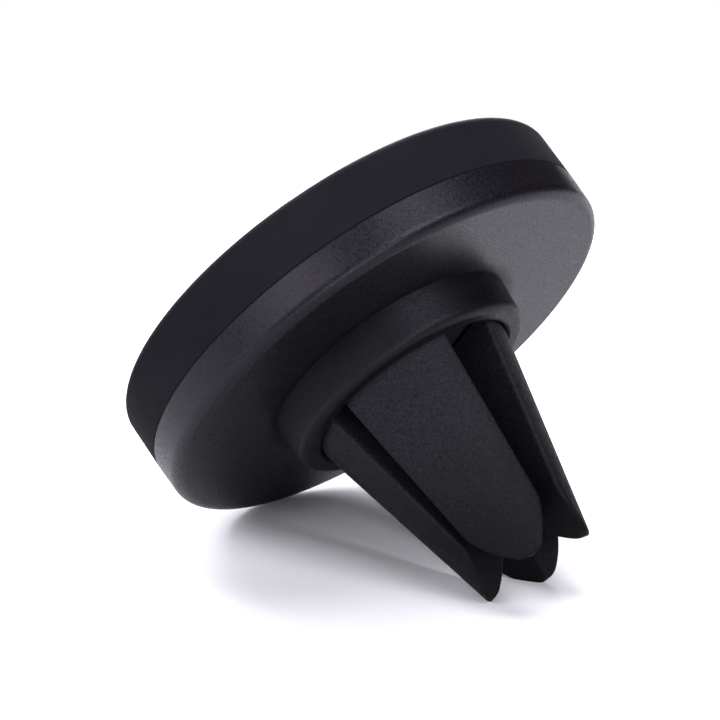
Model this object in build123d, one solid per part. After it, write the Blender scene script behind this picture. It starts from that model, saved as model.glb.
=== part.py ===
from build123d import *
import os
from math import atan2, degrees

# A magnetic phone holder for a car's air vent, in millimetres. The origin is the centre of the
# flat phone face. +Z runs from that face along the clip, and the wide slot lies along X.

# Head
head_radius = 21.0
cap_height = 5.0
head_thickness = 8.4
rear_radius = 20.9
front_edge_radius = 0.8
rear_edge_radius = 1.0
parting_chamfer = 0.08

# Front cap and magnet carrier
cap_face = 1.2
cap_inner_radius = 19.55
bead_depth = 0.35
bead_low, bead_high = 2.2, 3.0
carrier_radius = 19.5
carrier_top = 4.3
well_radius = 6.6
well_floor = 0.6

# Magnets and yoke
magnet_count = 6
magnet_radius = 4.5
magnet_thickness = 2.5
magnet_pitch_radius = 12.2
pocket_clearance = 0.05
magnet_edge = 0.2
yoke_radius = 17.6
yoke_thickness = 1.0

# Housing shell, bosses and screws
housing_floor = 1.6
spigot_inner_radius = 18.0
boss_count = 3
boss_pitch_radius = 16.0
boss_first_angle = 30.0
boss_radius = 2.2
boss_notch_clearance = 0.3
boss_overlap = 0.5
screw_radius = 1.0
screw_head_radius = 1.9
screw_tip = 6.9
screw_hole_end = 7.1
thread_clearance = 0.02

# Collar
collar_base_radius = 11.25
collar_lip_radius = 10.9
lip_height = 12.0
lip_outer_radius = 0.8
lip_inner_radius = 0.25
bore_radius = 9.2
bore_floor = 8.2
spigot_hole_radius = 4.6

# Swivel stack
running_gap = 0.02
spigot_clearance = 0.08
hub_spigot_end = 6.42
hub_radius = 9.0
hub_top = 10.6
wave_washer_inner, wave_washer_outer = 4.9, 7.0
retaining_washer_radius = 7.4
retaining_washer_thickness = 0.6
pivot_screw_radius = 1.25
pivot_head_radius = 2.4
pivot_head_height = 1.3
pivot_screw_end = 10.0
pivot_hole_end = 10.2
drive_slot_width, drive_slot_length, drive_slot_depth = 0.5, 2.8, 0.7

# Prongs
prong_base_radius = 9.05
prong_tip_radius = 4.85
prong_bottom = 11.0
tip_height = 30.67
tip_flat = 0.25
wide_slot = {"base": 2.42, "neck": 1.10, "neck_z": 26.55, "mid": 1.92, "mid_z": 28.65}
narrow_slot = {"base": 1.03, "neck": 0.32, "neck_z": 26.15, "mid": 1.42, "mid_z": 28.55}
slot_tip_half_width = 3.3
neck_blend = 3.0
slot_overrun = 2.0

# Prong cores
core_low, core_high = 9.0, 26.5
core_low_radius, core_high_radius = 6.9, 3.75
core_low_size = (1.3, 3.4)
core_high_size = (0.8, 1.6)
core_pocket_clearance = 0.25
core_pocket_floor = 8.8


def turned(points):
    """A solid turned about Z from (radius, height) points."""
    outline = Polyline(*[(r, 0, z) for r, z in points], close=True)
    return revolve(make_face(outline), axis=Axis.Z)


def round_edges(solid, radius, height):
    """The circular edges of one radius and height."""
    edges = solid.edges().filter_by(GeomType.CIRCLE)
    return [
        e for e in edges
        if abs(e.radius - radius) < 0.01 and abs(e.arc_center.Z - height) < 0.01
    ]


def disc(radius, low, high):
    return turned([(0, low), (radius, low), (radius, high), (0, high)])


def ring(inner, outer, low, high):
    return turned([(inner, low), (outer, low), (outer, high), (inner, high)])


def around(shape, angle):
    return Rot(0, 0, angle) * shape


def boss_angles():
    return [boss_first_angle + 360 / boss_count * i for i in range(boss_count)]


def make_front_cap():
    groove = cap_inner_radius + bead_depth
    cap = turned([
        (0, 0), (head_radius, 0), (head_radius, cap_height), (cap_inner_radius, cap_height),
        (cap_inner_radius, bead_high), (groove, bead_high), (groove, bead_low),
        (cap_inner_radius, bead_low), (cap_inner_radius, cap_face), (0, cap_face),
    ])
    cap = fillet(round_edges(cap, head_radius, 0), front_edge_radius)
    return chamfer(round_edges(cap, head_radius, cap_height), parting_chamfer)


def make_magnet():
    top = cap_face + well_floor + magnet_thickness
    magnet = disc(magnet_radius, top - magnet_thickness, top)
    magnet = fillet(magnet.edges().filter_by(GeomType.CIRCLE), magnet_edge)
    return Pos(magnet_pitch_radius, 0, 0) * magnet


def make_magnet_carrier():
    bead = carrier_radius + bead_depth
    pocket_floor = cap_face + well_floor
    carrier = turned([
        (0, cap_face), (carrier_radius, cap_face), (carrier_radius, bead_low), (bead, bead_low),
        (bead, bead_high), (carrier_radius, bead_high), (carrier_radius, carrier_top),
        (well_radius, carrier_top), (well_radius, pocket_floor), (0, pocket_floor),
    ])
    pocket = disc(magnet_radius + pocket_clearance, pocket_floor, head_thickness)
    for i in range(magnet_count):
        carrier -= around(Pos(magnet_pitch_radius, 0, 0) * pocket, 360 / magnet_count * i)
    hole = screw_shape(pocket_clearance, head_thickness)
    for angle in boss_angles():
        carrier -= around(hole, angle)
    return carrier


def screw_shape(clearance, end):
    """A countersunk screw, head down, on a boss's axis."""
    head = screw_head_radius + clearance
    shank = screw_radius + clearance
    cone_end = cap_face + screw_head_radius - screw_radius
    outline = [(0, cap_face), (head, cap_face), (shank, cone_end), (shank, end), (0, end)]
    return Pos(boss_pitch_radius, 0, 0) * turned(outline)


def cross_recess(low):
    slot = Box(drive_slot_length, drive_slot_width, 2 * drive_slot_depth)
    return Pos(0, 0, low) * (slot + around(slot, 90))


def make_housing_screws():
    screw = screw_shape(0, screw_tip) - Pos(boss_pitch_radius, 0, 0) * cross_recess(cap_face)
    return Compound(children=[around(screw, angle) for angle in boss_angles()])


def make_steel_yoke():
    yoke = ring(well_radius, yoke_radius, carrier_top, carrier_top + yoke_thickness)
    notch = disc(boss_radius + boss_notch_clearance, 0, head_thickness)
    for angle in boss_angles():
        yoke -= around(Pos(boss_pitch_radius, 0, 0) * notch, angle)
    return yoke


def make_rear_housing():
    inner_floor = head_thickness - housing_floor
    shell = turned([
        (head_radius, cap_height), (rear_radius, head_thickness),
        (collar_base_radius, head_thickness), (collar_lip_radius, lip_height),
        (bore_radius, lip_height), (bore_radius, bore_floor), (spigot_hole_radius, bore_floor),
        (spigot_hole_radius, inner_floor), (spigot_inner_radius, inner_floor),
        (spigot_inner_radius, carrier_top), (carrier_radius, carrier_top),
        (carrier_radius, cap_height),
    ])
    shell = fillet(round_edges(shell, rear_radius, head_thickness), rear_edge_radius)
    shell = fillet(round_edges(shell, collar_lip_radius, lip_height), lip_outer_radius)
    shell = fillet(round_edges(shell, bore_radius, lip_height), lip_inner_radius)
    shell = chamfer(round_edges(shell, head_radius, cap_height), parting_chamfer)
    boss = disc(boss_radius, carrier_top, inner_floor + boss_overlap)
    pilot = disc(screw_radius + thread_clearance, 0, screw_hole_end)
    for angle in boss_angles():
        shell += around(Pos(boss_pitch_radius, 0, 0) * boss, angle)
    for angle in boss_angles():
        shell -= around(Pos(boss_pitch_radius, 0, 0) * pilot, angle)
    return shell


def slot_cut(slot):
    """A tapering slot with a flared lead-in, along X."""
    low = prong_bottom - slot_overrun
    rise = (slot["base"] - slot["neck"]) / (slot["neck_z"] - lip_height)
    low_half = slot["base"] + rise * (lip_height - low)
    mouth = slot_tip_half_width + slot_overrun
    top = tip_height + slot_overrun
    side = [
        Line((low_half, low), (slot["neck"], slot["neck_z"])),
        ThreePointArc(
            (slot["neck"], slot["neck_z"]), (slot["mid"], slot["mid_z"]),
            (slot_tip_half_width, tip_height),
        ),
        Line((slot_tip_half_width, tip_height), (mouth, top)),
        Line((mouth, top), (0, top)),
        Line((0, top), (0, low)),
        Line((0, low), (low_half, low)),
    ]
    half = make_face(side)
    neck = half.vertices().sort_by_distance(Vector(slot["neck"], slot["neck_z"], 0))[0]
    half = fillet(neck, neck_blend)
    profile = half + mirror(half, Plane.YZ)
    return extrude(Plane.YZ * profile, 2 * prong_base_radius, both=True)


def prong_blank():
    """The four prongs before they are parted, as one turned solid."""
    end = tip_height - tip_flat
    slope = (prong_tip_radius - prong_base_radius) / (tip_height - lip_height)
    end_radius = prong_tip_radius - slope * tip_flat
    return turned([
        (0, prong_bottom), (prong_base_radius, prong_bottom), (prong_base_radius, lip_height),
        (end_radius, end), (0, end),
    ])


def quadrant_angles():
    """The diagonals that prongs 1 to 4 lie on, in degrees from +X."""
    return [225, 135, 45, 315]


def make_core():
    """A tapered core on the +X axis, with its foot in the hub."""
    low = Plane((core_low_radius, 0, core_low)) * Rectangle(*core_low_size)
    high = Plane((core_high_radius, 0, core_high)) * Rectangle(*core_high_size)
    return loft([low, high])


def make_jackets():
    parted = prong_blank() - slot_cut(wide_slot) - around(slot_cut(narrow_slot), 90)
    jackets = {}
    for solid in parted.solids():
        centre = solid.center()
        angle = degrees(atan2(centre.Y, centre.X)) % 360
        quadrant = min(quadrant_angles(), key=lambda q: abs(q - angle))
        jackets[quadrant] = solid - around(make_core(), quadrant)
    return [jackets[q] for q in quadrant_angles()]


def make_clip_hub():
    hub = disc(hub_radius, bore_floor + running_gap, hub_top)
    hub += disc(spigot_hole_radius - spigot_clearance, hub_spigot_end, hub_top)
    hub -= disc(pivot_screw_radius + thread_clearance, 0, pivot_hole_end)
    slope = (core_high_radius - core_low_radius) / (core_high - core_low)
    pocket_size = [side + 2 * core_pocket_clearance for side in core_low_size]
    pocket_low = (core_low_radius, 0, core_pocket_floor)
    pocket_high = (core_low_radius + slope * (prong_bottom - core_low), 0, prong_bottom)
    pocket = loft([Plane(p) * Rectangle(*pocket_size) for p in (pocket_low, pocket_high)])
    for quadrant in quadrant_angles():
        hub -= around(pocket, quadrant)
    return hub


def make_wave_washer():
    inner_floor = head_thickness - housing_floor
    low = hub_spigot_end + running_gap
    return ring(wave_washer_inner, wave_washer_outer, low, inner_floor - running_gap)


def make_retaining_washer():
    hole = pivot_screw_radius + thread_clearance
    low = hub_spigot_end - retaining_washer_thickness
    return ring(hole, retaining_washer_radius, low, hub_spigot_end)


def make_pivot_screw():
    under_head = hub_spigot_end - retaining_washer_thickness
    low = under_head - pivot_head_height
    screw = turned([
        (0, low), (pivot_head_radius, low), (pivot_head_radius, under_head),
        (pivot_screw_radius, under_head), (pivot_screw_radius, pivot_screw_end),
        (0, pivot_screw_end),
    ])
    screw = fillet(round_edges(screw, pivot_head_radius, low), pivot_head_height / 2)
    return screw - cross_recess(low)


def make_parts():
    parts = {
        "front_cap": make_front_cap(),
        "magnet_carrier": make_magnet_carrier(),
        "steel_yoke": make_steel_yoke(),
        "housing_screws": make_housing_screws(),
        "rear_housing": make_rear_housing(),
        "clip_hub": make_clip_hub(),
        "wave_washer": make_wave_washer(),
        "retaining_washer": make_retaining_washer(),
        "pivot_screw": make_pivot_screw(),
    }
    for i in range(magnet_count):
        parts[f"magnet_{i + 1}"] = around(make_magnet(), 360 / magnet_count * i)
    for number, (angle, jacket) in enumerate(zip(quadrant_angles(), make_jackets()), 1):
        parts[f"prong_jacket_{number}"] = jacket
        parts[f"prong_core_{number}"] = around(make_core(), angle)
    return parts


os.makedirs("parts", exist_ok=True)
for name, shape in make_parts().items():
    export_step(shape, f"parts/{name}.step")
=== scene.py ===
import math

import bmesh
import bpy
from mathutils import Matrix, Vector


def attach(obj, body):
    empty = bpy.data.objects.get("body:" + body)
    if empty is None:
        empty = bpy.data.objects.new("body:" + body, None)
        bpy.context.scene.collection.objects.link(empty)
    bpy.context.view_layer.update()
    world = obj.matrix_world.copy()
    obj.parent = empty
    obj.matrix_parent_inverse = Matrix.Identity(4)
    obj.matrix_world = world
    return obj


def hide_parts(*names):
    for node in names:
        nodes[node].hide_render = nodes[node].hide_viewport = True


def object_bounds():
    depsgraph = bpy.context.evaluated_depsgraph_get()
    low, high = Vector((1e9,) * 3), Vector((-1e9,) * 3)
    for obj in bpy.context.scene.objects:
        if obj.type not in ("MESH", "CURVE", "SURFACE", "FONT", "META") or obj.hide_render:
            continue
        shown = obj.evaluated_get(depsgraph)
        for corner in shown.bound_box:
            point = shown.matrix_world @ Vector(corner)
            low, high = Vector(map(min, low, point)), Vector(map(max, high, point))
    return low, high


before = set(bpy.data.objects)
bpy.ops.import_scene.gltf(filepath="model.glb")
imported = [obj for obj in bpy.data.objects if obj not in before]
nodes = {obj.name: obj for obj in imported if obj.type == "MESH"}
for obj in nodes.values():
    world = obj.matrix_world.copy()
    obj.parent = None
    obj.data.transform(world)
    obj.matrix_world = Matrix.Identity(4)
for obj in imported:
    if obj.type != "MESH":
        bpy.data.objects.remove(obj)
cad_low, cad_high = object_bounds()
MM = 0.001

# Prongs, in millimetres, as the CAD model has them
PRONG_BOTTOM = 11.0
LIP_HEIGHT = 12.0
TIP_HEIGHT = 30.67
PRONG_BASE_RADIUS = 9.05
PRONG_TIP_RADIUS = 4.85
WIDE_SLOT = {"base": 2.42, "neck": 1.10, "neck_z": 26.55, "mid": 1.92, "mid_z": 28.65}
NARROW_SLOT = {"base": 1.03, "neck": 0.32, "neck_z": 26.15, "mid": 1.42, "mid_z": 28.55}
SLOT_TIP_HALF_WIDTH = 3.3
PRONG_SIDES = [(-1, -1), (-1, 1), (1, 1), (1, -1)]
CORE_HIGH = 26.5
CORE_LOW_Z, CORE_LOW_RADIUS, CORE_LOW_SIZE = 9.0, 6.9, (1.3, 3.4)
CORE_HIGH_RADIUS, CORE_HIGH_SIZE = 3.75, (0.8, 1.6)

# How softly a slot's taper runs into its flare, in place of the CAD model's fillet
NECK_BLEND = 0.10

# The prongs' rounded edges and ends, which the CAD model leaves sharp
EDGE_ROUND = 0.32
TIP_EDGE_ROUND = 0.12
EDGE_THINS_FROM, EDGE_THINS_TO = 27.0, 30.0
TIP_ROUND_START = 29.85
TIP_TOP = 30.2

# How finely a prong's skin is divided: round its outline, and along its length
CORNER_STEPS, EDGE_STEPS, FLAT_STEPS, FACE_STEPS = 5, 8, 10, 28
CORE_STEPS, LENGTH_STEPS, TIP_STEPS = 4, 120, 12

# The rear rim of the head, which the object lies on together with two prong tips
RIM_RADIUS, RIM_HEIGHT, RIM_ROUND = 20.9, 8.4, 1.0

# How far the floor lies under the rear rim and the slots' edges at the tips, in millimetres.
# The outer corners of the two lower tips reach 0.3 mm into it.
FLOOR_GAP = 0.03

# Camera
AIM = Vector((-0.14, -3.40, 7.78)) * MM
CAMERA_DISTANCE = 241.1 * MM
CAMERA_ELEVATION = 17.49
CAMERA_AZIMUTH = -43.35
CAMERA_ROLL = 2.38
CAMERA_LENS = 146.4

# How pale the floor is to the camera and to the object
FLOOR_SEEN = 0.95
FLOOR_BOUNCE = 0.52

# How far off, in metres, the floor ends, the camera stops seeing it, and the lights stand
FLOOR_RADIUS = 1.2
FLOOR_FADE = (0.10, 0.16)
LIGHT_DISTANCE = 0.8
LIGHT_COLOR = (0.94, 0.915, 1.0)
AMBIENT = 0.02

# The stretch that most of a noise texture's values lie in
NOISE_LOW, NOISE_HIGH = 0.35, 0.65

# Which finish each CAD node has, by its name without a number; the rest are steel
CAD_FINISHES = {
    "front_cap": "cap", "rear_housing": "shell", "prong_jacket": "rubber",
    "prong_core": "nylon", "clip_hub": "nylon", "magnet_carrier": "nylon", "magnet": "nickel",
}


def arc_through(first, middle, last):
    """Centre and radius of the circle through three (x, y) points."""
    ax, ay = first
    bx, by = middle
    cx, cy = last
    d = 2 * (ax * (by - cy) + bx * (cy - ay) + cx * (ay - by))
    a2, b2, c2 = ax * ax + ay * ay, bx * bx + by * by, cx * cx + cy * cy
    ux = (a2 * (by - cy) + b2 * (cy - ay) + c2 * (ay - by)) / d
    uy = (a2 * (cx - bx) + b2 * (ax - cx) + c2 * (bx - ax)) / d
    return ux, uy, math.hypot(ax - ux, ay - uy)


def half_width(slot, z):
    """Half the slot's width at a height: a straight taper, then the flared lead-in."""
    taper = (slot["neck"] - slot["base"]) / (slot["neck_z"] - LIP_HEIGHT)
    line = slot["base"] + taper * (z - LIP_HEIGHT)
    cx, cz, r = arc_through(
        (slot["neck"], slot["neck_z"]), (slot["mid"], slot["mid_z"]),
        (SLOT_TIP_HALF_WIDTH, TIP_HEIGHT),
    )
    rise = min(max(z - cz, 0), r)
    flare = cx - math.sqrt(r * r - rise * rise)
    gap = line - flare
    return (line + flare + math.sqrt(gap * gap + NECK_BLEND ** 2)) / 2


def prong_radius(z):
    if z < LIP_HEIGHT:
        return PRONG_BASE_RADIUS
    t = (z - LIP_HEIGHT) / (TIP_HEIGHT - LIP_HEIGHT)
    return PRONG_BASE_RADIUS + (PRONG_TIP_RADIUS - PRONG_BASE_RADIUS) * t


def span(start, end, count):
    return [start + (end - start) * i / count for i in range(count)]


def edge_round(z):
    """The rounding of a prong's long edges at a height, less where the prong thins out."""
    t = (z - EDGE_THINS_FROM) / (EDGE_THINS_TO - EDGE_THINS_FROM)
    return EDGE_ROUND - (EDGE_ROUND - TIP_EDGE_ROUND) * min(max(t, 0), 1)


def section(z):
    """The outline of a prong at a height, in the quadrant of +X and +Y, as (x, y) points."""
    hx, hy, radius = half_width(NARROW_SLOT, z), half_width(WIDE_SLOT, z), prong_radius(z)
    rounding = edge_round(z)
    inner = radius - rounding
    ox, oy = hx + rounding, hy + rounding
    c1 = (math.sqrt(inner * inner - oy * oy), oy)
    c2 = (ox, math.sqrt(inner * inner - ox * ox))
    a1, a2 = math.atan2(c1[1], c1[0]), math.atan2(c2[1], c2[0])
    points = []
    for a in span(math.pi, 1.5 * math.pi, CORNER_STEPS):
        points.append((ox + rounding * math.cos(a), oy + rounding * math.sin(a)))
    for x in span(ox, c1[0], FLAT_STEPS):
        points.append((x, hy))
    for a in span(-math.pi / 2, a1, EDGE_STEPS):
        points.append((c1[0] + rounding * math.cos(a), c1[1] + rounding * math.sin(a)))
    for a in span(a1, a2, FACE_STEPS):
        points.append((radius * math.cos(a), radius * math.sin(a)))
    for a in span(a2, math.pi, EDGE_STEPS):
        points.append((c2[0] + rounding * math.cos(a), c2[1] + rounding * math.sin(a)))
    for y in span(c2[1], oy, FLAT_STEPS):
        points.append((hx, y))
    return points


def core_ring(outline, z):
    """Points on the core's faces at a height, one towards each point of the outline."""
    t = (z - CORE_LOW_Z) / (CORE_HIGH - CORE_LOW_Z)
    centre = (CORE_LOW_RADIUS + (CORE_HIGH_RADIUS - CORE_LOW_RADIUS) * t) * math.sqrt(0.5)
    deep, wide = [
        (low + (high - low) * t) / 2 for low, high in zip(CORE_LOW_SIZE, CORE_HIGH_SIZE)
    ]
    ring = []
    for x, y in outline:
        out = ((x - centre) + (y - centre)) * math.sqrt(0.5)
        side = ((y - centre) - (x - centre)) * math.sqrt(0.5)
        k = 1 / max(abs(out) / deep, abs(side) / wide)
        out, side = out * k, side * k
        ring.append((
            centre + (out - side) * math.sqrt(0.5), centre + (out + side) * math.sqrt(0.5), z,
        ))
    return ring


def prong_rings():
    """The rings of points that a prong's skin runs through, from inside its core hole."""
    bottom = section(PRONG_BOTTOM)
    rings = [core_ring(bottom, z) for z in span(CORE_HIGH, PRONG_BOTTOM, CORE_STEPS)]
    rings.append(core_ring(bottom, PRONG_BOTTOM))
    for z in span(PRONG_BOTTOM, TIP_ROUND_START, LENGTH_STEPS):
        rings.append([(x, y, z) for x, y in section(z)])
    depth = TIP_TOP - TIP_ROUND_START
    for angle in span(0, math.pi / 2, TIP_STEPS):
        z = TIP_ROUND_START + depth * math.sin(angle)
        k = math.sqrt(math.cos(angle))
        outline = section(z)
        cx = sum(x for x, y in outline) / len(outline)
        cy = sum(y for x, y in outline) / len(outline)
        rings.append([(cx + (x - cx) * k, cy + (y - cy) * k, z) for x, y in outline])
    return rings


def skin(name, rings, place):
    """A closed mesh through rings of points, with both ends capped."""
    mesh = bmesh.new()
    rows = [[mesh.verts.new(place(Vector(p))) for p in ring] for ring in rings]
    for low, high in zip(rows, rows[1:]):
        for i in range(len(low)):
            j = (i + 1) % len(low)
            mesh.faces.new((low[i], low[j], high[j], high[i]))
    mesh.faces.new(list(reversed(rows[0])))
    mesh.faces.new(rows[-1])
    bmesh.ops.recalc_face_normals(mesh, faces=mesh.faces)
    data = bpy.data.meshes.new(name)
    mesh.to_mesh(data)
    mesh.free()
    piece = bpy.data.objects.new(name, data)
    bpy.context.scene.collection.objects.link(piece)
    for polygon in data.polygons:
        polygon.use_smooth = True
    data.set_sharp_from_angle(angle=math.radians(50))
    return piece


def make_prongs(material):
    rings = prong_rings()
    for number, (sx, sy) in enumerate(PRONG_SIDES, 1):

        def place(p):
            return Vector((p.x * sx, p.y * sy, p.z)) * MM

        piece = skin(f"prong_{number}_rubber", rings, place)
        piece.data.materials.append(material)
        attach(piece, f"prong_{number}")
        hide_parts(f"prong_jacket_{number}")


class Finish:
    """A material with a procedural surface, built up one property at a time."""

    def __init__(self, name, roughness, specular=0.5, metallic=0.0, patch_mm=2.0):
        self.material = bpy.data.materials.new(name)
        self.material.use_nodes = True
        self.tree = self.material.node_tree
        self.shader = self.tree.nodes["Principled BSDF"]
        self.shader.inputs["Specular IOR Level"].default_value = specular
        self.shader.inputs["Metallic"].default_value = metallic
        self.place = self.tree.nodes.new("ShaderNodeTexCoord").outputs["Object"]
        self.color = None
        self.roughness = self.spread(self.noise(patch_mm), NOISE_LOW, NOISE_HIGH, *roughness)
        self.link(self.roughness, self.shader.inputs["Roughness"])

    def link(self, start, end):
        self.tree.links.new(start, end)

    def noise(self, size_mm, detail=2.0):
        texture = self.tree.nodes.new("ShaderNodeTexNoise")
        texture.inputs["Scale"].default_value = 1 / (size_mm * MM)
        texture.inputs["Detail"].default_value = detail
        self.link(self.place, texture.inputs["Vector"])
        return texture.outputs["Fac"]

    def spread(self, value, start, end, first, last):
        """A value that runs smoothly from first to last as another runs from start to end."""
        node = self.tree.nodes.new("ShaderNodeMapRange")
        node.interpolation_type = "SMOOTHSTEP"
        for name, number in zip(("From Min", "From Max", "To Min", "To Max"),
                                (start, end, first, last)):
            node.inputs[name].default_value = number
        self.link(value, node.inputs["Value"])
        return node.outputs["Result"]

    def height(self):
        """The distance from the phone face, along the clip's axis."""
        split = self.tree.nodes.new("ShaderNodeSeparateXYZ")
        self.link(self.place, split.inputs["Vector"])
        return split.outputs["Z"]

    def off_axis(self):
        """The distance from the clip's axis."""
        flat = self.tree.nodes.new("ShaderNodeVectorMath")
        flat.operation = "MULTIPLY"
        flat.inputs[1].default_value = (1, 1, 0)
        self.link(self.place, flat.inputs[0])
        length = self.tree.nodes.new("ShaderNodeVectorMath")
        length.operation = "LENGTH"
        self.link(flat.outputs["Vector"], length.inputs[0])
        return length.outputs["Value"]

    def mottle(self, size_mm, first, second):
        """Patches of two colours that fade into each other."""
        ramp = self.tree.nodes.new("ShaderNodeValToRGB")
        for element, position, color in zip(
            ramp.color_ramp.elements, (NOISE_LOW, NOISE_HIGH), (first, second)
        ):
            element.position = position
            element.color = (*color, 1)
        self.link(self.noise(size_mm, 4.0), ramp.inputs["Fac"])
        self.color = ramp.outputs["Color"]
        self.link(self.color, self.shader.inputs["Base Color"])

    def fade(self, where, start_mm, end_mm, first, last):
        """Paints light and shade into the colour: lighter or darker from one place to another."""
        scale = self.tree.nodes.new("ShaderNodeVectorMath")
        scale.operation = "SCALE"
        self.link(self.color, scale.inputs[0])
        self.link(self.spread(where, start_mm * MM, end_mm * MM, first, last), scale.inputs["Scale"])
        self.color = scale.outputs["Vector"]
        self.link(self.color, self.shader.inputs["Base Color"])

    def soften(self, where, start_mm, end_mm, first, last):
        """Adds to the roughness from one place to another."""
        total = self.tree.nodes.new("ShaderNodeMath")
        self.link(self.roughness, total.inputs[0])
        self.link(self.spread(where, start_mm * MM, end_mm * MM, first, last), total.inputs[1])
        self.roughness = total.outputs["Value"]
        self.link(self.roughness, self.shader.inputs["Roughness"])

    def grain(self, size_mm, depth_mm, strength=1.0):
        """Fine relief."""
        bump = self.tree.nodes.new("ShaderNodeBump")
        bump.inputs["Strength"].default_value = strength
        bump.inputs["Distance"].default_value = depth_mm * MM
        self.link(self.noise(size_mm), bump.inputs["Height"])
        self.link(bump.outputs["Normal"], self.shader.inputs["Normal"])


def make_materials():
    cap = Finish("soft_touch_rubber", (0.76, 0.84), 0.06)
    cap.mottle(6.0, (0.0102, 0.0096, 0.0124), (0.0118, 0.0111, 0.0142))
    cap.grain(0.12, 0.003, 0.5)

    shell = Finish("grained_plastic", (0.27, 0.40), 0.30, patch_mm=0.22)
    shell.shader.inputs["Specular Tint"].default_value = (0.9, 0.86, 1.0, 1.0)
    shell.mottle(0.16, (0.0034, 0.0030, 0.0043), (0.0112, 0.0100, 0.0130))
    shell.soften(shell.off_axis(), 11.4, 12.6, 0.16, 0.0)
    shell.soften(shell.off_axis(), 9.25, 9.6, 0.4, 0.0)
    # Painted shade: the collar and the back right round it are coloured a quarter as bright as the
    # rest of the back, fading out between 11.4 and 12.6 mm off the axis.
    shell.fade(shell.off_axis(), 11.4, 12.6, 0.25, 1.0)
    shell.grain(0.17, 0.02)

    rubber = Finish("grained_rubber", (0.48, 0.6), 0.12, patch_mm=0.4)
    rubber.mottle(0.17, (0.0062, 0.0057, 0.0078), (0.0178, 0.0164, 0.0206))
    # Painted light and shade: the prongs' rubber is coloured 1.5 times as bright at the collar,
    # falling to 0.4 times at the tips.
    rubber.fade(rubber.height(), 12.0, 30.0, 1.5, 0.4)
    rubber.grain(0.17, 0.05)

    nylon = Finish("nylon", (0.45, 0.55), 0.4)
    nylon.mottle(1.0, (0.025, 0.025, 0.027), (0.035, 0.035, 0.037))
    nylon.grain(0.2, 0.004, 0.5)

    nickel = Finish("nickel_plate", (0.2, 0.3), metallic=1.0)
    nickel.mottle(2.0, (0.7, 0.68, 0.64), (0.74, 0.72, 0.68))
    nickel.grain(0.3, 0.001, 0.5)

    steel = Finish("zinc_plated_steel", (0.3, 0.42), metallic=1.0)
    steel.mottle(1.5, (0.56, 0.58, 0.6), (0.62, 0.64, 0.66))
    steel.grain(0.2, 0.002, 0.5)
    return {
        "cap": cap.material, "shell": shell.material, "rubber": rubber.material,
        "nylon": nylon.material, "nickel": nickel.material, "steel": steel.material,
    }


def dress_cad_nodes(materials):
    for name, node in nodes.items():
        finish = CAD_FINISHES.get(name.rstrip("_0123456789"), "steel")
        node.data.materials.clear()
        node.data.materials.append(materials[finish])


def resting_plane():
    """A point on the floor and its upward normal, for the plane on the tips and the rear rim."""
    tip_x = SLOT_TIP_HALF_WIDTH
    tip_z = cad_high.z / MM
    cx, cz = RIM_RADIUS - RIM_ROUND, RIM_HEIGHT - RIM_ROUND
    dx, dz = cx - tip_x, cz - tip_z
    distance = math.hypot(dx, dz)
    lean = math.atan2(dz, dx) + math.asin(RIM_ROUND / distance)
    along = Vector((math.cos(lean), 0, math.sin(lean)))
    up = Vector((along.z, 0, -along.x))
    up.normalize()
    return (Vector((tip_x, 0, tip_z)) - up * FLOOR_GAP) * MM, up


def make_camera(up):
    """The camera, by its angles over the floor, and its forward and right directions."""
    along = Vector((0, 1, 0)).cross(up)
    azimuth, elevation = math.radians(CAMERA_AZIMUTH), math.radians(CAMERA_ELEVATION)
    level = along * math.sin(azimuth) + Vector((0, 1, 0)) * math.cos(azimuth)
    forward = level * math.cos(elevation) - up * math.sin(elevation)
    camera = bpy.data.objects.new("camera", bpy.data.cameras.new("camera"))
    bpy.context.scene.collection.objects.link(camera)
    camera.data.lens = CAMERA_LENS
    camera.data.clip_start = 0.01
    right = forward.cross(up).normalized()
    right.rotate(Matrix.Rotation(math.radians(-CAMERA_ROLL), 4, forward))
    top = right.cross(forward)
    turn = Matrix((right, top, -forward)).transposed().to_4x4()
    camera.matrix_world = Matrix.Translation(AIM - forward * CAMERA_DISTANCE) @ turn
    bpy.context.scene.camera = camera
    return forward, right


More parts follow.
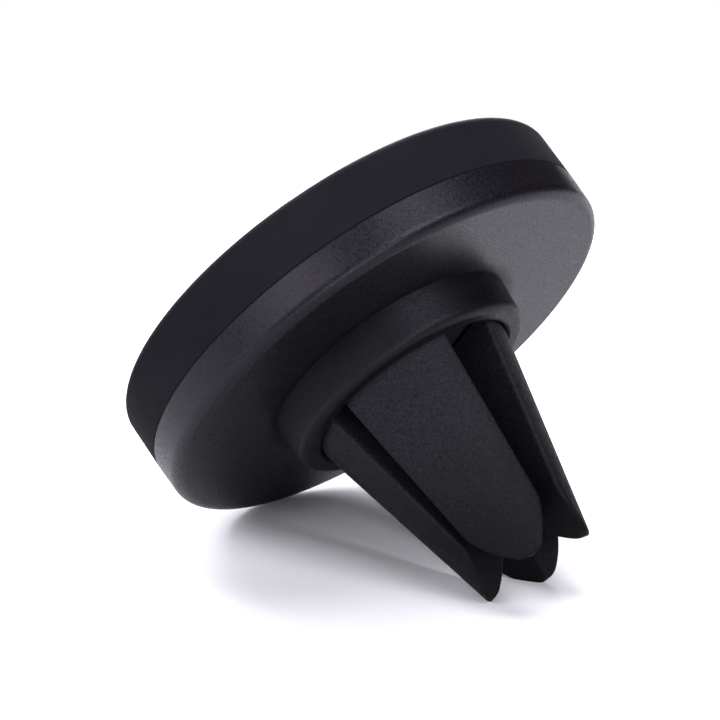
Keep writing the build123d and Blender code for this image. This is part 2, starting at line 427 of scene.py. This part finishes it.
def floor_material():
    """White, and unseen from below and far off, where the white world shows instead."""
    surface = bpy.data.materials.new("pale_floor")
    surface.use_nodes = True
    tree = surface.node_tree
    shader = tree.nodes["Principled BSDF"]
    shader.inputs["Roughness"].default_value = 0.7
    shader.inputs["Specular IOR Level"].default_value = 0.0
    side = tree.nodes.new("ShaderNodeNewGeometry")
    path = tree.nodes.new("ShaderNodeLightPath")
    tone = tree.nodes.new("ShaderNodeMapRange")
    tone.inputs["To Min"].default_value = FLOOR_BOUNCE
    tone.inputs["To Max"].default_value = FLOOR_SEEN
    tree.links.new(path.outputs["Is Camera Ray"], tone.inputs["Value"])
    tree.links.new(tone.outputs["Result"], shader.inputs["Base Color"])
    place = tree.nodes.new("ShaderNodeTexCoord")
    reach = tree.nodes.new("ShaderNodeVectorMath")
    reach.operation = "LENGTH"
    tree.links.new(place.outputs["Object"], reach.inputs[0])
    far = tree.nodes.new("ShaderNodeMapRange")
    far.inputs["From Min"].default_value, far.inputs["From Max"].default_value = FLOOR_FADE
    tree.links.new(reach.outputs["Value"], far.inputs["Value"])
    unseen = tree.nodes.new("ShaderNodeMath")
    unseen.operation = "MAXIMUM"
    tree.links.new(side.outputs["Backfacing"], unseen.inputs[0])
    tree.links.new(far.outputs["Result"], unseen.inputs[1])
    both = tree.nodes.new("ShaderNodeMath")
    both.operation = "MULTIPLY"
    tree.links.new(unseen.outputs["Value"], both.inputs[0])
    tree.links.new(path.outputs["Is Camera Ray"], both.inputs[1])
    clear = tree.nodes.new("ShaderNodeBsdfTransparent")
    mix = tree.nodes.new("ShaderNodeMixShader")
    tree.links.new(both.outputs["Value"], mix.inputs["Fac"])
    tree.links.new(shader.outputs["BSDF"], mix.inputs[1])
    tree.links.new(clear.outputs["BSDF"], mix.inputs[2])
    tree.links.new(mix.outputs["Shader"], tree.nodes["Material Output"].inputs["Surface"])
    return surface


def make_floor(point, up):
    mesh = bmesh.new()
    bmesh.ops.create_circle(mesh, cap_ends=True, radius=FLOOR_RADIUS, segments=96)
    data = bpy.data.meshes.new("floor")
    mesh.to_mesh(data)
    mesh.free()
    floor = bpy.data.objects.new("floor", data)
    bpy.context.scene.collection.objects.link(floor)
    floor.rotation_mode = "QUATERNION"
    floor.rotation_quaternion = up.to_track_quat("Z", "Y")
    floor.location = point
    data.materials.append(floor_material())


def area_light(name, place, size, power):
    light = bpy.data.lights.new(name, "AREA")
    light.shape = "RECTANGLE"
    light.size, light.size_y = size
    light.energy = power
    light.color = LIGHT_COLOR
    lamp = bpy.data.objects.new(name, light)
    bpy.context.scene.collection.objects.link(lamp)
    lamp.location = place
    lamp.rotation_mode = "QUATERNION"
    lamp.rotation_quaternion = (place - AIM).to_track_quat("Z", "Y")


def make_light(forward, right, up):
    """Softboxes placed by bearing (from straight behind, clockwise) and height in degrees."""
    level = (forward - up * forward.dot(up)).normalized()

    def softbox(name, bearing, height, size, power):
        turn, lift = math.radians(bearing), math.radians(height)
        flat = level * math.cos(turn) + right * math.sin(turn)
        place = AIM + (flat * math.cos(lift) + up * math.sin(lift)) * LIGHT_DISTANCE
        area_light(name, place, size, power)

    softbox("backdrop", -16, 12, (0.8, 0.36), 17.0)
    softbox("rim_left", -30, 35, (0.35, 0.35), 7.8)
    softbox("top", 0, 88, (0.4, 0.4), 4.1)
    softbox("key_left", -112, 35, (0.35, 0.35), 2.3)
    softbox("fill_right", 140, 45, (0.5, 0.4), 3.4)
    softbox("fill_front", -150, 35, (0.35, 0.35), 1.2)
    softbox("front_low", 165, 8, (0.6, 0.2), 1.8)
    softbox("left_low", -130, 9, (0.5, 0.2), 0.7)


def make_world():
    """White to the camera, and almost no light to the object."""
    world = bpy.data.worlds.new("studio")
    world.use_nodes = True
    tree = world.node_tree
    seen = tree.nodes["Background"]
    seen.inputs["Color"].default_value = (1, 1, 1, 1)
    seen.inputs["Strength"].default_value = 1.0
    felt = tree.nodes.new("ShaderNodeBackground")
    felt.inputs["Color"].default_value = (1, 1, 1, 1)
    felt.inputs["Strength"].default_value = AMBIENT
    path = tree.nodes.new("ShaderNodeLightPath")
    mix = tree.nodes.new("ShaderNodeMixShader")
    tree.links.new(path.outputs["Is Camera Ray"], mix.inputs["Fac"])
    tree.links.new(felt.outputs["Background"], mix.inputs[1])
    tree.links.new(seen.outputs["Background"], mix.inputs[2])
    tree.links.new(mix.outputs["Shader"], tree.nodes["World Output"].inputs["Surface"])
    bpy.context.scene.world = world


materials = make_materials()
dress_cad_nodes(materials)
make_prongs(materials["rubber"])
floor_point, floor_up = resting_plane()
view_forward, view_right = make_camera(floor_up)
make_floor(floor_point, floor_up)
make_light(view_forward, view_right, floor_up)
make_world()
bpy.context.scene.view_settings.view_transform = "Standard"
